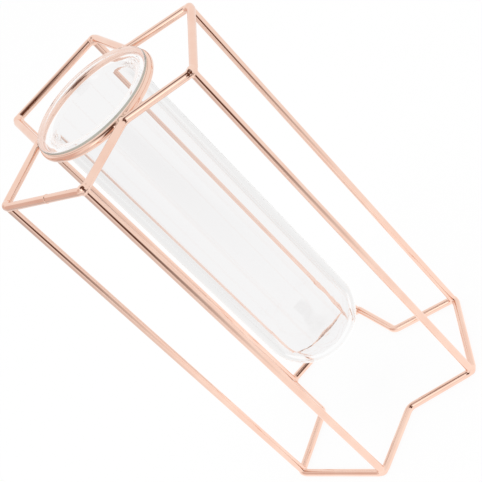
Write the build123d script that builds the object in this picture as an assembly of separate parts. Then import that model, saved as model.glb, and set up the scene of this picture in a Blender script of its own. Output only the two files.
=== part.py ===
from build123d import *
import os
from math import asin, atan2, cos, degrees, hypot, radians, sin

# Test tube vase: a clear glass tube hangs by its lip in a stand of bent and welded round wire.
# Two star-shaped wire loops, one on the table and one at the top, are held apart by six upright legs.
# A wire ring inside the top star carries the tube.
# Lengths are in millimetres and angles in degrees. The table is the plane z = 0, Z is the axis of the
# stand and the tube, and one notch of the stars faces the front, -Y.

# Glass tube
tube_outer_diameter = 33.0
glass_wall = 1.8
tube_base_thickness = 2.0
base_corner_share = 0.885
tube_floor_gap = 27.4
flare_radius = 2.0
lip_thickness = 1.0
lip_overhang = 0.5

# Wire stand
wire_diameter = 2.5
stand_height = 149.0
corner_circle_radius = 40.0
outer_edge_length = 35.7
corner_bend_radius = 2.5
notch_bend_radius = 3.0
lobe_count = 3
first_lobe_angle = -30.0

# Fits between the pieces: the play of the tube in its ring, the film of air under the lip, and how far
# two welded wires are pressed into each other
tube_play = 2.4
lip_seat_gap = 0.2
weld_sink = 0.3

# Weld beads, and the raised seam where the ends of the top loop are butted together
weld_fillet = 0.4
ring_weld_share = 1.0
seam_rise = 0.15
seam_bead_radius = 0.35
seam_place_share = 0.55

# Sizes that follow
wire_radius = wire_diameter / 2
tube_radius = tube_outer_diameter / 2
bore_radius = tube_radius - glass_wall
tube_base_corner_radius = tube_radius * base_corner_share
lobe_step = 360 / lobe_count
ring_radius = tube_radius + tube_play + wire_radius
top_level = stand_height - wire_radius
base_level = wire_radius
leg_weld_radius = wire_radius + weld_fillet
ring_weld_radius = wire_radius * ring_weld_share

# A pair of corners spans twice this angle, seen from the axis
corner_angle = degrees(asin(outer_edge_length / (2 * corner_circle_radius)))

# Each notch reaches in until its bend is pressed against the ring. Its two wires leave the bend as
# tangents and run to the corners beside it, which gives the sharp point that the bend rounds off.
notch_to_corner_angle = lobe_step / 2 - corner_angle
corner_along = corner_circle_radius * cos(radians(notch_to_corner_angle))
corner_across = corner_circle_radius * sin(radians(notch_to_corner_angle))
notch_bend_centre = ring_radius + wire_diameter - weld_sink + notch_bend_radius
corner_reach = hypot(corner_along - notch_bend_centre, corner_across)
notch_slope = atan2(corner_across, corner_along - notch_bend_centre) - asin(notch_bend_radius / corner_reach)
notch_point_radius = notch_bend_centre - notch_bend_radius / sin(notch_slope)


def polar(radius, angle, level):
    """Point at a radius and an angle about the axis of the stand."""
    return Vector(radius * cos(radians(angle)), radius * sin(radians(angle)), level)


def star_points(level):
    """Sharp corners of a star in order: two outer corners and a notch for each lobe."""
    points = []
    for lobe in range(lobe_count):
        middle = first_lobe_angle + lobe * lobe_step
        points.append(polar(corner_circle_radius, middle - corner_angle, level))
        points.append(polar(corner_circle_radius, middle + corner_angle, level))
        points.append(polar(notch_point_radius, middle + lobe_step / 2, level))
    return points


def star_loop(level):
    """Closed loop of round wire, bent at every corner of the star."""
    bends = [corner_bend_radius, corner_bend_radius, notch_bend_radius] * lobe_count
    path = FilletPolyline(*star_points(level), radius=bends, close=True)
    section = Plane(origin=path @ 0, z_dir=path % 0) * Circle(wire_radius)
    return sweep(section, path=path)


def bend_middle(before, corner, after):
    """Middle of the wire's bend at an outer corner, where a leg stands."""
    towards_before = (before - corner).normalized()
    towards_after = (after - corner).normalized()
    half_angle = radians(towards_before.get_angle(towards_after) / 2)
    inwards = (towards_before + towards_after).normalized()
    return corner + inwards * (corner_bend_radius / sin(half_angle) - corner_bend_radius)


def leg_places():
    """Foot of each leg's axis on the table, counter-clockwise from the front right."""
    points = star_points(0)
    count = len(points)
    places = []
    for start in range(0, count, count // lobe_count):
        notch_before, first, second, notch_after = (points[(start + step) % count] for step in range(-1, 3))
        places.append(bend_middle(notch_before, first, second))
        places.append(bend_middle(first, second, notch_after))
    return places


def butt_seam():
    """Low bead round the wire, on the top star's front left edge, where the loop is closed."""
    points = star_points(top_level)
    left_corner = points[-3]
    front_corner = points[-2]
    place = left_corner + (front_corner - left_corner) * seam_place_share
    across_wire = Plane(origin=place, z_dir=front_corner - left_corner)
    return across_wire * Torus(wire_radius + seam_rise - seam_bead_radius, seam_bead_radius)


def glass_tube():
    """Tube turned from one outline: rounded base, straight wall and a lip flared over the ring."""
    base = tube_floor_gap
    floor = base + tube_base_thickness
    seat = stand_height + lip_seat_gap
    lip_top = seat + lip_thickness
    lip_edge = ring_radius + lip_overhang - lip_thickness / 2
    flare_middle = tube_radius + flare_radius
    inner_flare_radius = flare_radius + glass_wall
    outer_corner_middle = tube_radius - tube_base_corner_radius
    inner_corner_radius = tube_base_corner_radius - glass_wall
    outline = Curve() + [
        Line((0, base), (outer_corner_middle, base)),
        CenterArc((outer_corner_middle, base + tube_base_corner_radius), tube_base_corner_radius, -90, 90),
        Line((tube_radius, base + tube_base_corner_radius), (tube_radius, seat - flare_radius)),
        CenterArc((flare_middle, seat - flare_radius), flare_radius, 90, 90),
        Line((flare_middle, seat), (lip_edge, seat)),
        CenterArc((lip_edge, seat + lip_thickness / 2), lip_thickness / 2, -90, 180),
        Line((lip_edge, lip_top), (flare_middle, lip_top)),
        CenterArc((flare_middle, lip_top - inner_flare_radius), inner_flare_radius, 90, 90),
        Line((bore_radius, lip_top - inner_flare_radius), (bore_radius, floor + inner_corner_radius)),
        CenterArc((outer_corner_middle, floor + inner_corner_radius), inner_corner_radius, -90, 90),
        Line((outer_corner_middle, floor), (0, floor)),
        Line((0, floor), (0, base)),
    ]
    return revolve(make_face(Plane.XZ * outline), Axis.Z)


# The ring is pressed a little into the notches of the top star, and the legs into the bends of both stars
tube_ring = Pos(0, 0, top_level) * Torus(ring_radius, wire_radius)
top_star = star_loop(top_level) + butt_seam() - tube_ring
bottom_star = star_loop(base_level)

leg_names = ["front_right_leg", "right_leg", "back_right_leg", "back_left_leg", "left_leg", "front_left_leg"]
leg_foot_level = wire_diameter - weld_sink
leg_top_level = stand_height - wire_diameter + weld_sink
legs = {}
top_beads = []
foot_beads = []
for name, place in zip(leg_names, leg_places()):
    foot = Plane(place + Vector(0, 0, leg_foot_level))
    bar = extrude(foot * Circle(wire_radius), leg_top_level - leg_foot_level)
    legs[name] = bar - top_star - bottom_star
    upper_bead = Pos(place.X, place.Y, stand_height - wire_diameter) * Sphere(leg_weld_radius)
    lower_bead = Pos(place.X, place.Y, wire_diameter) * Sphere(leg_weld_radius)
    top_beads.append(upper_bead - bar - top_star)
    foot_beads.append(lower_bead - bar - bottom_star)

# The ring's weld beads fill the crease between ring and notch, above and below
ring_beads = []
for lobe in range(lobe_count):
    notch_angle = first_lobe_angle + (lobe + 1 / 2) * lobe_step
    touch = polar(ring_radius + wire_radius - weld_sink / 2, notch_angle, top_level)
    ring_beads.append(Pos(touch) * Sphere(ring_weld_radius) - tube_ring - top_star)

pieces = {
    "glass_tube": glass_tube(),
    "tube_ring": tube_ring,
    "top_star_wire": top_star,
    "bottom_star_wire": bottom_star,
    **legs,
    "leg_top_welds": Compound(children=top_beads),
    "leg_foot_welds": Compound(children=foot_beads),
    "ring_welds": Compound(children=ring_beads),
}

os.makedirs("parts", exist_ok=True)
for name, piece in pieces.items():
    export_step(piece, f"parts/{name}.step")
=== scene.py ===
import math

import bpy
import numpy as np
from mathutils import Matrix


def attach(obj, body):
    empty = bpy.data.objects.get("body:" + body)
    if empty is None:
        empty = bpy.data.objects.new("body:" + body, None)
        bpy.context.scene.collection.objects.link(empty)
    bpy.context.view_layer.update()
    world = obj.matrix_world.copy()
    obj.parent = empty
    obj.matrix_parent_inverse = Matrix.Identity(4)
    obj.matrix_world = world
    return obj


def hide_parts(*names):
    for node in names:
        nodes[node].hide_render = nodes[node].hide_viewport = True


# Looks of the test tube vase: a clear glass tube that hangs by its lip in a stand of rose-gold wire.
# Lengths are in metres and angles in degrees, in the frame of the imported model.

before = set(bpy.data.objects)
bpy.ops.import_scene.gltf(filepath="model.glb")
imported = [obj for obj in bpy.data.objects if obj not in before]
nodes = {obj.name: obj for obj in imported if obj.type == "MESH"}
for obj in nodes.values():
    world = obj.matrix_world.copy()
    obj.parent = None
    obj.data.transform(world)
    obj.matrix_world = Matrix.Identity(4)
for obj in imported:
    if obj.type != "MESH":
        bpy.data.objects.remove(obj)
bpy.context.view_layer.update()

# Camera of the photograph, which is turned by an eighth of a turn in its frame
camera_target = (0.0019, 0.00195, 0.0785)
camera_azimuth = -5.71
camera_elevation = 31.5
camera_distance = 0.452
camera_roll = -45.04
camera_lens = 106.5
camera_sensor = 36.0

# Wire stand, as in the solids
wire_radius = 0.00125
stand_height = 0.149
corner_circle_radius = 0.040
outer_edge_length = 0.0357
corner_bend_radius = 0.0025
notch_bend_radius = 0.003
ring_radius = 0.02015
weld_sink = 0.0003
lobe_count = 3
corners_per_lobe = 3
first_lobe_angle = -30.0
top_level = stand_height - wire_radius
base_level = wire_radius

# Weld beads: how far a fillet reaches, how far the bead swells past the wire, how uneven it is, and where it
# ends inside the wires, a hair under their skin
leg_fillet_reach = 0.0006
leg_bead_swell = 0.00002
ring_fillet_reach = 0.0012
ring_bead_swell = 0.00008
bead_unevenness = 0.00007
bead_blend = 0.0007
leg_weld_end = 0.0046
ring_weld_end = 0.0034
skin = 0.000012
globe_rows = 60
globe_columns = 120
bisection_steps = 40
smallest_slope = 1e-9

# Waves of a bead's unevenness along X and Y, how much faster the second moves on, and the step from one bead
# to the next
bead_wave_x = 3.1
bead_wave_y = 2.7
bead_wave_gain = 2.3
bead_wave_step = 1.7

# Finishes, as linear colours
rose_gold = (0.915, 0.66, 0.545, 1.0)
rose_gold_deep = (0.885, 0.60, 0.485, 1.0)
glass_body = (0.97, 0.968, 0.969, 1.0)
# The bore's grey and the edge-on wall's grey are painted shade; the lip's olive is the glass's own green
# deepened by painted shade
bore_shade_grey = (0.862, 0.852, 0.855, 1.0)
side_shade_grey = (0.705, 0.695, 0.69, 1.0)
rim_green_and_shade = (0.22, 0.22, 0.17, 1.0)
glass_ior = 1.5
white = (1.0, 1.0, 1.0, 1.0)

# Radii between which the lip's olive edge, the glass's own green deepened by painted shade, comes in
rim_start = 0.0203
rim_full = 0.02055

# The bore, which gets a painted shade of grey, is told from the outside by a radius. Below a level, the height
# counts in that radius too, stretched so that the rounded base goes on from the straight wall.
bore_limit = 0.0156
bore_level = 0.0421
bore_stretch = 1.139

# Slant of the view at which the wall is seen edge-on and its painted shade comes in: past the bore, and fully
# so
side_start = 0.56
side_full = 0.64

# Levels between which the base goes over into the straight wall, and the wall into the flare
base_low = 0.030
base_high = 0.040
flare_low = 0.1440
flare_high = 0.1465

# Studio: how far light is followed, the floor and surround, and the colours of the cards that the wires
# mirror, with how well they cover. The cards paint reflections: dark streaks, grey shade, a glow of the floor
# near the vase and a highlight of the key light.
light_bounces = 256
floor_half_width = 2.0
floor_white = (0.93, 0.93, 0.93, 1.0)
seen_share = 0.92
sky_strength = 0.85
dark_reflection_brown = (0.11, 0.042, 0.02, 1.0)
grey_shade_reflection = (0.77, 0.64, 0.60, 1.0)
cool_grey_shade_reflection = (0.62, 0.60, 0.61, 1.0)
floor_glow = (1.20, 1.20, 1.20, 0.6)
key_highlight_glow = (1.70, 1.66, 1.62, 1.0)

# The cards are seen by light that was mirrored once or twice: one and a half times, give or take a bit over
# a half
mirrored_times = 1.5
mirrored_reach = 0.6


def add_object(name, data):
    """A new object of the scene, at the origin."""
    thing = bpy.data.objects.new(name, data)
    bpy.context.scene.collection.objects.link(thing)
    return thing


def add_piece(name, points, faces):
    """A new object with a mesh of these points and faces."""
    mesh = bpy.data.meshes.new(name)
    mesh.from_pydata(points, [], faces)
    return add_object(name, mesh)


def add_node(tree, kind, place, **settings):
    """A shader node of this kind at this place of the tree, with its settings and input values."""
    node = tree.nodes.new(kind)
    node.location = place
    for name, value in settings.items():
        socket = name.replace("_", " ")
        if socket in node.inputs:
            node.inputs[socket].default_value = value
        else:
            setattr(node, name, value)
    return node


def new_material(name):
    """An empty material with its output node."""
    material = bpy.data.materials.new(name)
    material.use_nodes = True
    tree = material.node_tree
    tree.nodes.clear()
    output = add_node(tree, "ShaderNodeOutputMaterial", (600, 0))
    return material, tree, output


def product(tree, place, first, second):
    """Socket with the product of two values."""
    result = add_node(tree, "ShaderNodeMath", place, operation="MULTIPLY")
    tree.links.new(first, result.inputs[0])
    tree.links.new(second, result.inputs[1])
    return result.outputs[0]


def mixed_tone(tree, place, share, first, second):
    """Socket with the first tone, or by a share the second. Each is a colour or a socket."""
    mix = add_node(tree, "ShaderNodeMix", place, data_type="RGBA")
    tree.links.new(share, mix.inputs["Factor"])
    for name, tone in (("A", first), ("B", second)):
        if isinstance(tone, tuple):
            mix.inputs[name].default_value = tone
        else:
            tree.links.new(tone, mix.inputs[name])
    return mix.outputs["Result"]


def plate_group():
    """Surface of the plated wire: cloudy tone, patches of finer and duller polish, and shallow ripples."""
    group = bpy.data.node_groups.new("rose_gold_plate", "ShaderNodeTree")
    sockets = group.interface
    for name, kind, value in (("Light Tone", "NodeSocketColor", rose_gold),
                              ("Deep Tone", "NodeSocketColor", rose_gold_deep),
                              ("Cloud Scale", "NodeSocketFloat", 90.0),
                              ("Polish", "NodeSocketFloat", 0.06),
                              ("Dullness", "NodeSocketFloat", 0.14),
                              ("Ripple Scale", "NodeSocketFloat", 220.0),
                              ("Ripple Height", "NodeSocketFloat", 0.00002)):
        socket = sockets.new_socket(name, in_out="INPUT", socket_type=kind)
        socket.default_value = value
    for name, kind in (("Color", "NodeSocketColor"), ("Roughness", "NodeSocketFloat"),
                       ("Normal", "NodeSocketVector")):
        sockets.new_socket(name, in_out="OUTPUT", socket_type=kind)
    link = group.links.new
    given = add_node(group, "NodeGroupInput", (-900, 0))
    result = add_node(group, "NodeGroupOutput", (600, 0))
    place = add_node(group, "ShaderNodeTexCoord", (-900, 300))

    clouds = add_node(group, "ShaderNodeTexNoise", (-600, 300), Detail=3.0, Roughness=0.6)
    link(place.outputs["Object"], clouds.inputs["Vector"])
    link(given.outputs["Cloud Scale"], clouds.inputs["Scale"])
    cloud_share = add_node(group, "ShaderNodeMapRange", (-350, 300), From_Min=0.35, From_Max=0.7)
    link(clouds.outputs["Fac"], cloud_share.inputs["Value"])
    tone = mixed_tone(group, (0, 300), cloud_share.outputs[0], given.outputs["Light Tone"],
                      given.outputs["Deep Tone"])
    link(tone, result.inputs["Color"])

    grain = add_node(group, "ShaderNodeTexNoise", (-600, 0), Scale=1400.0, Detail=4.0, Roughness=0.65)
    link(place.outputs["Object"], grain.inputs["Vector"])
    polish = add_node(group, "ShaderNodeMapRange", (0, 0), From_Min=0.4, From_Max=0.75)
    link(grain.outputs["Fac"], polish.inputs["Value"])
    link(given.outputs["Polish"], polish.inputs["To Min"])
    link(given.outputs["Dullness"], polish.inputs["To Max"])
    link(polish.outputs[0], result.inputs["Roughness"])

    ripples = add_node(group, "ShaderNodeTexNoise", (-600, -300), Detail=1.0)
    link(place.outputs["Object"], ripples.inputs["Vector"])
    link(given.outputs["Ripple Scale"], ripples.inputs["Scale"])
    bump = add_node(group, "ShaderNodeBump", (0, -300))
    link(ripples.outputs["Fac"], bump.inputs["Height"])
    link(given.outputs["Ripple Height"], bump.inputs["Distance"])
    link(bump.outputs[0], result.inputs["Normal"])
    return group


def rose_gold_material(name, group, **values):
    """Polished rose-gold plate, with its own values of the shared surface."""
    material, tree, output = new_material(name)
    surface = add_node(tree, "ShaderNodeGroup", (0, 0), node_tree=group)
    for socket, value in values.items():
        surface.inputs[socket.replace("_", " ")].default_value = value
    shader = add_node(tree, "ShaderNodeBsdfPrincipled", (300, 0), Metallic=1.0)
    tree.links.new(surface.outputs["Color"], shader.inputs["Base Color"])
    tree.links.new(surface.outputs["Roughness"], shader.inputs["Roughness"])
    tree.links.new(surface.outputs["Normal"], shader.inputs["Normal"])
    tree.links.new(shader.outputs[0], output.inputs["Surface"])
    return material


def bore_shade_share(tree, place):
    """Socket with 1 on the surface of the bore, where the painted shade goes, and 0 outside, by the radius
    stretched at the base.
    """
    stretched = add_node(tree, "ShaderNodeMapping", (-700, 1150), Scale=(1.0, 1.0, bore_stretch),
                         Location=(0.0, 0.0, -bore_level * bore_stretch))
    below = add_node(tree, "ShaderNodeVectorMath", (-500, 1150), operation="MINIMUM")
    below.inputs[1].default_value = (1.0, 1.0, 0.0)
    radius = add_node(tree, "ShaderNodeVectorMath", (-300, 1150), operation="LENGTH")
    bore = add_node(tree, "ShaderNodeMath", (-100, 1150), operation="LESS_THAN")
    bore.inputs[1].default_value = bore_limit
    tree.links.new(place, stretched.inputs["Vector"])
    tree.links.new(stretched.outputs[0], below.inputs[0])
    tree.links.new(below.outputs[0], radius.inputs[0])
    tree.links.new(radius.outputs["Value"], bore.inputs[0])
    return bore.outputs[0]


def side_shade_share(tree, place):
    """Socket of painted shade that rises to 1 where the straight wall is seen edge-on, but not at the base and
    the flare.
    """
    slant = add_node(tree, "ShaderNodeLayerWeight", (-700, 450), Blend=0.5)
    side = add_node(tree, "ShaderNodeMapRange", (-500, 450), interpolation_type="SMOOTHSTEP",
                    From_Min=side_start, From_Max=side_full)
    height = add_node(tree, "ShaderNodeSeparateXYZ", (-700, 650))
    above_base = add_node(tree, "ShaderNodeMapRange", (-500, 900), From_Min=base_low, From_Max=base_high)
    below_flare = add_node(tree, "ShaderNodeMapRange", (-500, 650), From_Min=flare_low, From_Max=flare_high,
                           To_Min=1.0, To_Max=0.0)
    tree.links.new(slant.outputs["Facing"], side.inputs["Value"])
    tree.links.new(place, height.inputs[0])
    tree.links.new(height.outputs["Z"], above_base.inputs["Value"])
    tree.links.new(height.outputs["Z"], below_flare.inputs["Value"])
    side_above_base = product(tree, (-300, 900), side.outputs[0], above_base.outputs[0])
    return product(tree, (-300, 650), side_above_base, below_flare.outputs[0])


def rim_green_and_shade_share(tree, place):
    """Socket that rises to 1 on the lip's rounded edge, where the glass's own green is deepened by painted
    shade, by the distance from the tube's axis.
    """
    across = add_node(tree, "ShaderNodeVectorMath", (-700, 200), operation="MULTIPLY")
    across.inputs[1].default_value = (1.0, 1.0, 0.0)
    radius = add_node(tree, "ShaderNodeVectorMath", (-500, 200), operation="LENGTH")
    edge = add_node(tree, "ShaderNodeMapRange", (-300, 200), interpolation_type="SMOOTHSTEP",
                    From_Min=rim_start, From_Max=rim_full)
    tree.links.new(place, across.inputs[0])
    tree.links.new(across.outputs["Vector"], radius.inputs[0])
    tree.links.new(radius.outputs["Value"], edge.inputs["Value"])
    return edge.outputs[0]


def clear_glass_material():
    """Clear glass with a grey tone and the slow waves of drawn tube.

    The bore gets a faint painted shade of grey, the straight wall a deeper painted shade where it is seen
    edge-on, and the lip's edge the glass's own olive green, deepened by painted shade.
    Light takes these tones on entering the glass, and none on leaving it.
    """
    material, tree, output = new_material("clear_drawn_glass")
    link = tree.links.new
    place = add_node(tree, "ShaderNodeTexCoord", (-900, 0)).outputs["Object"]
    # Painted shade: grey in the bore, deeper grey on the wall seen edge-on, and the lip's own green deepened
    # to olive
    surface = mixed_tone(tree, (100, 1150), bore_shade_share(tree, place), glass_body, bore_shade_grey)
    wall = mixed_tone(tree, (-100, 450), side_shade_share(tree, place), surface, side_shade_grey)
    tone = mixed_tone(tree, (-50, 200), rim_green_and_shade_share(tree, place), wall, rim_green_and_shade)
    faces = add_node(tree, "ShaderNodeNewGeometry", (-50, 450))
    entering = mixed_tone(tree, (150, 300), faces.outputs["Backfacing"], tone, white)

    stretch = add_node(tree, "ShaderNodeMapping", (-700, -200), Scale=(60.0, 60.0, 14.0))
    waves = add_node(tree, "ShaderNodeTexNoise", (-500, -200), Scale=1.0, Detail=1.0)
    bump = add_node(tree, "ShaderNodeBump", (-50, -200), Distance=0.00002)
    link(place, stretch.inputs["Vector"])
    link(stretch.outputs[0], waves.inputs["Vector"])
    link(waves.outputs["Fac"], bump.inputs["Height"])

    shader = add_node(tree, "ShaderNodeBsdfPrincipled", (300, 0), Roughness=0.0, IOR=glass_ior,
                      Transmission_Weight=1.0)
    link(entering, shader.inputs["Base Color"])
    link(bump.outputs[0], shader.inputs["Normal"])
    link(shader.outputs[0], output.inputs["Surface"])
    return material


def star_corners():
    """Sharp corners of the star in the plane, in order: two outer corners and a notch for each lobe.

    The outer corners lie on a circle, and a pair of them is one outer edge apart. A notch is the point where
    the tangents from its neighbours to the notch's bend meet, and the bend is pressed against the ring.
    """
    half_pair = math.asin(outer_edge_length / (2 * corner_circle_radius))
    half_lobe = math.pi / lobe_count
    along = corner_circle_radius * math.cos(half_lobe - half_pair)
    across = corner_circle_radius * math.sin(half_lobe - half_pair)
    bend_middle = ring_radius + 2 * wire_radius - weld_sink + notch_bend_radius
    reach = math.hypot(along - bend_middle, across)
    slope = math.atan2(across, along - bend_middle) - math.asin(notch_bend_radius / reach)
    notch_radius = bend_middle - notch_bend_radius / math.sin(slope)
    middle = math.radians(first_lobe_angle) + 2 * half_lobe * np.arange(lobe_count)[:, None]
    angle = middle + np.array([-half_pair, half_pair, half_lobe])
    radius = np.array([corner_circle_radius, corner_circle_radius, notch_radius])
    return np.stack([radius * np.cos(angle), radius * np.sin(angle)], axis=2).reshape(-1, 2)


def bent_wire_field(before, corner, after, level, bend_radius):
    """Distance to the skin of the wire round one corner of the star.

    The centre line is two straight arms and an arc between them. The distance to it in the plane and the
    height above it are the sides of a right triangle. The result is the long side of that triangle, less
    the wire's radius.
    """
    to_before = (before - corner) / np.linalg.norm(before - corner)
    to_after = (after - corner) / np.linalg.norm(after - corner)
    inwards = (to_before + to_after) / np.linalg.norm(to_before + to_after)
    half_angle = math.acos(inwards @ to_after)
    arc_middle = corner + inwards * (bend_radius / math.sin(half_angle))
    arm_start = bend_radius / math.tan(half_angle)

    def field(points):
        flat = points[..., :2]
        gaps = []
        for arm in (to_before, to_after):
            offset = flat - (corner + arm * arm_start)
            along = np.maximum(offset @ arm, 0.0)
            gaps.append(np.linalg.norm(offset - along[..., None] * arm, axis=-1))
        spoke = flat - arc_middle
        length = np.linalg.norm(spoke, axis=-1)
        in_arc = -(spoke @ inwards) >= length * math.sin(half_angle)
        gaps.append(np.where(in_arc, np.abs(length - bend_radius), np.inf))
        flat_gap = np.minimum.reduce(gaps)
        return np.hypot(flat_gap, points[..., 2] - level) - wire_radius + skin

    bend_place = arc_middle - inwards * bend_radius
    return field, bend_place


def leg_field(place, low, high):
    """Distance to the skin of an upright leg: that to its axis between two levels, less its radius."""
    def field(points):
        aside = np.linalg.norm(points[..., :2] - place, axis=-1)
        beyond = np.maximum(np.maximum(low - points[..., 2], points[..., 2] - high), 0.0)
        return np.hypot(aside, beyond) - wire_radius + skin

    return field


def ring_field(points):
    """Distance to the skin of the ring that carries the tube: that to its circle, less the wire's radius."""
    aside = np.linalg.norm(points[..., :2], axis=-1) - ring_radius
    return np.hypot(aside, points[..., 2] - top_level) - wire_radius + skin


def blended(first, second, reach):
    """Smooth union of two distances: where they differ by less than the reach, the lower one sinks by a
    parabola of the difference, which leaves a fillet in the crease."""
    near = np.maximum(reach - np.abs(first - second), 0.0)
    return np.minimum(first, second) - near ** 2 / (4 * reach)


def filleted(first, second, reach):
    """Distance to two wires with a fillet of this reach between them."""
    return lambda points: blended(first(points), second(points), reach)


def globe_directions():
    """Unit vectors of a globe: equal steps of latitude without the poles, equal steps of longitude, then the
    poles."""
    latitude = np.linspace(-np.pi / 2, np.pi / 2, globe_rows + 1)[1:-1, None]
    longitude = np.linspace(0.0, 2 * np.pi, globe_columns, endpoint=False)
    grid = np.stack([np.cos(latitude) * np.cos(longitude), np.cos(latitude) * np.sin(longitude),
                     np.repeat(np.sin(latitude), globe_columns, axis=1)], axis=2)
    return np.concatenate([grid.reshape(-1, 3), [[0.0, 0.0, -1.0], [0.0, 0.0, 1.0]]])


def globe_faces():
    """Faces of the globe: four-sided between the rows, with the seam closed, and a fan of triangles at each
    pole."""
    row, column = np.meshgrid(np.arange(globe_rows - 2), np.arange(globe_columns), indexing="ij")
    following = (column + 1) % globe_columns
    low, high = row * globe_columns, (row + 1) * globe_columns
    quads = np.stack([low + column, low + following, high + following, high + column], axis=2).reshape(-1, 4)
    around = np.arange(globe_columns)
    onward = (around + 1) % globe_columns
    top = (globe_rows - 2) * globe_columns
    south = np.full(globe_columns, (globe_rows - 1) * globe_columns)
    fans = np.concatenate([np.stack([south, onward, around], axis=1),
                           np.stack([south + 1, top + around, top + onward], axis=1)])
    return quads, fans


def bead_points(centre, field, swell, end, phase):
    """Weld bead round one joint, as points along the directions of the globe.

    Each lies where the blended wires and a slightly uneven ball about the joint end. That place is found by
    halving, and is never past the end that is hidden in the wires or below the table.
    """
    directions = globe_directions()
    wave_x = np.sin(bead_wave_x * directions[:, 0] + phase)
    wave_y = np.sin(bead_wave_y * directions[:, 1] + bead_wave_gain * phase)
    ball = wire_radius + swell + bead_unevenness * (wave_x * wave_y)
    below = np.minimum(directions[:, 2], -smallest_slope)
    limit = np.minimum(end, -centre[2] / below)
    near = np.zeros(len(directions))
    far = limit.copy()
    for _ in range(bisection_steps):
        middle = (near + far) / 2
        points = centre + directions * middle[:, None]
        inside = blended(field(points), middle - ball, bead_blend) < 0.0
        near = np.where(inside, middle, near)
        far = np.where(inside, far, middle)
    return centre + directions * np.minimum(far, limit)[:, None]


def make_beads(name, node, joints, swell, end, material):
    """One piece with a weld bead at each joint, in place of the node's plain beads."""
    quads, fans = globe_faces()
    beads = [bead_points(centre, field, swell, end, bead_wave_step * number)
             for number, (centre, field) in enumerate(joints)]
    starts = np.arange(len(beads))[:, None, None] * len(beads[0])
    faces = (quads + starts).reshape(-1, 4).tolist() + (fans + starts).reshape(-1, 3).tolist()
    piece = add_piece(name, np.concatenate(beads).tolist(), faces)
    mesh = piece.data
    mesh.polygons.foreach_set("use_smooth", np.ones(len(mesh.polygons), dtype=bool))
    mesh.update()
    mesh.materials.append(material)
    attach(piece, "stand")
    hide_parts(node)


def make_welds(material):
    """Weld beads at the legs' upper and lower ends, and where the ring meets the notches of the top star."""
    corners = star_corners()
    count = len(corners)
    joints = {top_level: [], base_level: []}
    notches = []
    for number in range(count):
        neighbours = corners[number - 1], corners[number], corners[(number + 1) % count]
        if number % corners_per_lobe == corners_per_lobe - 1:
            bend, place = bent_wire_field(*neighbours, top_level, notch_bend_radius)
            touch = place * (1 - (wire_radius - weld_sink / 2) / np.linalg.norm(place))
            notches.append((np.append(touch, top_level), filleted(bend, ring_field, ring_fillet_reach)))
            continue
        for level in joints:
            bend, place = bent_wire_field(*neighbours, level, corner_bend_radius)
            leg = leg_field(place, base_level, top_level)
            joints[level].append((np.append(place, level), filleted(bend, leg, leg_fillet_reach)))
    make_beads("leg_top_beads", "leg_top_welds", joints[top_level], leg_bead_swell, leg_weld_end, material)
    make_beads("leg_foot_beads", "leg_foot_welds", joints[base_level], leg_bead_swell, leg_weld_end, material)
    make_beads("ring_beads", "ring_welds", notches, ring_bead_swell, ring_weld_end, material)


def background_share(tree, low, high):
    """Socket with one value for rays that see the background, straight, in mirrors or through glass, and
    another for rays that only carry light."""
    path = add_node(tree, "ShaderNodeLightPath", (-900, 0))
    straight = add_node(tree, "ShaderNodeMath", (-700, 0), operation="MAXIMUM")
    seen = add_node(tree, "ShaderNodeMath", (-500, 0), operation="MAXIMUM")
    share = add_node(tree, "ShaderNodeMapRange", (-300, 0), To_Min=low, To_Max=high)
    tree.links.new(path.outputs["Is Camera Ray"], straight.inputs[0])
    tree.links.new(path.outputs["Is Transmission Ray"], straight.inputs[1])
    tree.links.new(straight.outputs[0], seen.inputs[0])
    tree.links.new(path.outputs["Is Glossy Ray"], seen.inputs[1])
    tree.links.new(seen.outputs[0], share.inputs["Value"])
    return share.outputs[0]


def mix_shaders(tree, share, first, second, output):
    """Surface of the first shader, or by a share of the second."""
    mix = add_node(tree, "ShaderNodeMixShader", (300, 0))
    tree.links.new(share, mix.inputs[0])
    tree.links.new(first.outputs[0], mix.inputs[1])
    tree.links.new(second.outputs[0], mix.inputs[2])
    tree.links.new(mix.outputs[0], output.inputs["Surface"])


def make_floor():
    """White floor that glows almost white where it is seen, and keeps a soft shadow."""
    half = floor_half_width
    floor = add_piece("floor", [(-half, -half, 0), (half, -half, 0), (half, half, 0), (-half, half, 0)],
                      [(0, 1, 2, 3)])
    material, tree, output = new_material("white_floor")
    paint = add_node(tree, "ShaderNodeBsdfDiffuse", (0, 100), Color=floor_white)
    glow = add_node(tree, "ShaderNodeEmission", (0, -100), Color=white)
    mix_shaders(tree, background_share(tree, 0.0, seen_share), paint, glow, output)
    floor.data.materials.append(material)


def make_world():
    """White surround, at full white where it is seen and a little lower as a light."""
    world = bpy.data.worlds.new("studio")
    bpy.context.scene.world = world
    world.use_nodes = True
    tree = world.node_tree
    tree.nodes.clear()
    output = add_node(tree, "ShaderNodeOutputWorld", (600, 0))
    sky = add_node(tree, "ShaderNodeBackground", (300, 0), Color=white)
    tree.links.new(background_share(tree, sky_strength, 1.0), sky.inputs["Strength"])
    tree.links.new(sky.outputs[0], output.inputs["Surface"])


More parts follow.
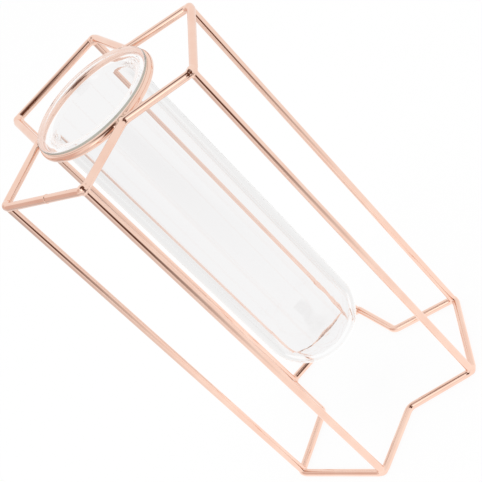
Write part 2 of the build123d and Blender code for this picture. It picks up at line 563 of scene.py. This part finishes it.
def make_card(name, colour, corner, across, along, soft, through_glass=False):
    """A plain card with soft borders that paints a reflection, seen only by mirrored light, and if asked for
    also through glass.

    It runs from a corner along two edges, and a frame of faces, as wide as the two soft shares of those
    edges, fades it out. The colour's last number is how well it covers.
    """
    first = np.array([0.0, soft[0], 1.0 - soft[0], 1.0])[:, None, None]
    second = np.array([0.0, soft[1], 1.0 - soft[1], 1.0])[None, :, None]
    points = (np.array(corner) + first * np.array(across) + second * np.array(along)).reshape(-1, 3)
    i, j = np.meshgrid(np.arange(3), np.arange(3), indexing="ij")
    faces = np.stack([4 * i + j, 4 * (i + 1) + j, 4 * (i + 1) + j + 1, 4 * i + j + 1], axis=2).reshape(-1, 4)
    inner = np.zeros((4, 4))
    inner[1:3, 1:3] = colour[3]
    card = add_piece(name, points.tolist(), faces.tolist())
    card.data.attributes.new("cover", "FLOAT", "POINT").data.foreach_set("value", inner.reshape(-1))
    material, tree, output = new_material(name)
    path = add_node(tree, "ShaderNodeLightPath", (-500, 0))
    mirrored = add_node(tree, "ShaderNodeMath", (-300, 0), operation="COMPARE")
    mirrored.inputs[1].default_value = mirrored_times
    mirrored.inputs[2].default_value = mirrored_reach
    cover = add_node(tree, "ShaderNodeAttribute", (-300, 200), attribute_name="cover")
    clear = add_node(tree, "ShaderNodeBsdfTransparent", (0, 100))
    glow = add_node(tree, "ShaderNodeEmission", (0, -100), Color=colour)
    tree.links.new(path.outputs["Glossy Depth"], mirrored.inputs[0])
    shown = product(tree, (0, 300), cover.outputs["Fac"], mirrored.outputs[0])
    mix_shaders(tree, shown, clear, glow, output)
    card.data.materials.append(material)
    card.visible_camera = False
    card.visible_diffuse = False
    card.visible_shadow = False
    card.visible_transmission = through_glass


def aimed(azimuth, elevation, distance, roll=0.0):
    """Place of a camera or lamp that looks at the middle of the vase."""
    turn = (Matrix.Rotation(math.radians(azimuth), 4, "Z")
            @ Matrix.Rotation(math.radians(90 - elevation), 4, "X")
            @ Matrix.Rotation(math.radians(roll), 4, "Z"))
    return Matrix.Translation(camera_target) @ turn @ Matrix.Translation((0, 0, distance))


def make_light(name, azimuth, elevation, distance, size, radiance):
    """A square softbox aimed at the middle of the vase. It lights the floor and isn't mirrored itself."""
    lamp = bpy.data.lights.new(name, "AREA")
    lamp.shape = "SQUARE"
    lamp.size = size
    lamp.energy = radiance * math.pi * size * size
    light = add_object(name, lamp)
    light.matrix_world = aimed(azimuth, elevation, distance)
    light.visible_glossy = False
    light.visible_transmission = False


def make_camera():
    """The camera of the photograph."""
    lens = bpy.data.cameras.new("photo_camera")
    lens.lens = camera_lens
    lens.sensor_width = camera_sensor
    camera = add_object("photo_camera", lens)
    camera.matrix_world = aimed(camera_azimuth, camera_elevation, camera_distance, camera_roll)
    bpy.context.scene.camera = camera


plate = plate_group()
wire_finish = rose_gold_material("rose_gold_wire_plate", plate)
weld_finish = rose_gold_material("rose_gold_weld_plate", plate, Cloud_Scale=260.0, Dullness=0.2,
                                 Ripple_Scale=1000.0, Ripple_Height=0.0002)
glass_finish = clear_glass_material()
for name, node in nodes.items():
    node.data.materials.clear()
    node.data.materials.append(glass_finish if name == "glass_tube" else wire_finish)
make_welds(weld_finish)

bpy.context.scene.view_settings.view_transform = "Standard"
# Light that is led along the glass wall isn't dropped at random on its way, which would show as grain
for kind in ("min_light_bounces", "max_bounces", "glossy_bounces", "transmission_bounces"):
    setattr(bpy.context.scene.cycles, kind, light_bounces)
make_camera()
make_world()
make_floor()
make_light("key_softbox", azimuth=-54.0, elevation=31.0, distance=0.9, size=0.5, radiance=1.5)
make_light("overhead_softbox", azimuth=0.0, elevation=90.0, distance=0.7, size=0.6, radiance=1.3)
# Painted reflection of light: a glowing card on the floor near the vase that only the wires mirror
make_card("lit_floor", floor_glow, corner=(-0.17, -0.17, 0.0005), across=(0.34, 0, 0), along=(0, 0.34, 0),
          soft=(0.4, 0.4))
# Painted dark reflections: brown cards in front and overhead that only the wires and the glass mirror
make_card("dark_front_floor", dark_reflection_brown, corner=(-0.20, -0.62, 0.002), across=(0.31, 0, 0),
          along=(0, 0.515, 0), soft=(0.29, 0.29))
make_card("dark_front", dark_reflection_brown, corner=(-0.28, -0.62, 0.0), across=(0.38, 0, 0), along=(0, 0, 0.9),
          soft=(0.16, 0.05), through_glass=True)
make_card("dark_front_left", dark_reflection_brown, corner=(-0.44, -0.61, 0.10), across=(0.38, 0, 0), along=(0, 0, 0.9),
          soft=(0.3, 0.2), through_glass=True)
make_card("dark_overhead", dark_reflection_brown, corner=(-0.32, -0.42, 0.75), across=(0.43, 0, 0), along=(0, 0.69, 0),
          soft=(0.30, 0.34), through_glass=True)
make_card("dark_overhead_front", dark_reflection_brown, corner=(-0.22, -0.85, 0.76), across=(0.48, 0, 0),
          along=(0, 0.80, 0), soft=(0.22, 0.30), through_glass=True)
# Painted shade in the reflections: grey cards on the left, upright and on the floor, that only the wires
# mirror
make_card("grey_left", grey_shade_reflection, corner=(-0.75, -0.20, -0.25), across=(0, 1.25, 0), along=(0, 0, 1.35),
          soft=(0.2, 0.18))
make_card("grey_left_floor", cool_grey_shade_reflection, corner=(-0.75, -0.35, 0.0015), across=(0.65, 0, 0),
          along=(0, 0.95, 0), soft=(0.34, 0.25))
# Painted highlight: a glowing panel that only the wires mirror, in place of the key light's reflection
make_card("key_panel", key_highlight_glow, corner=(-0.80, -0.46, 0.27), across=(0.27, -0.22, 0), along=(0, 0, 0.60),
          soft=(0.3, 0.25))
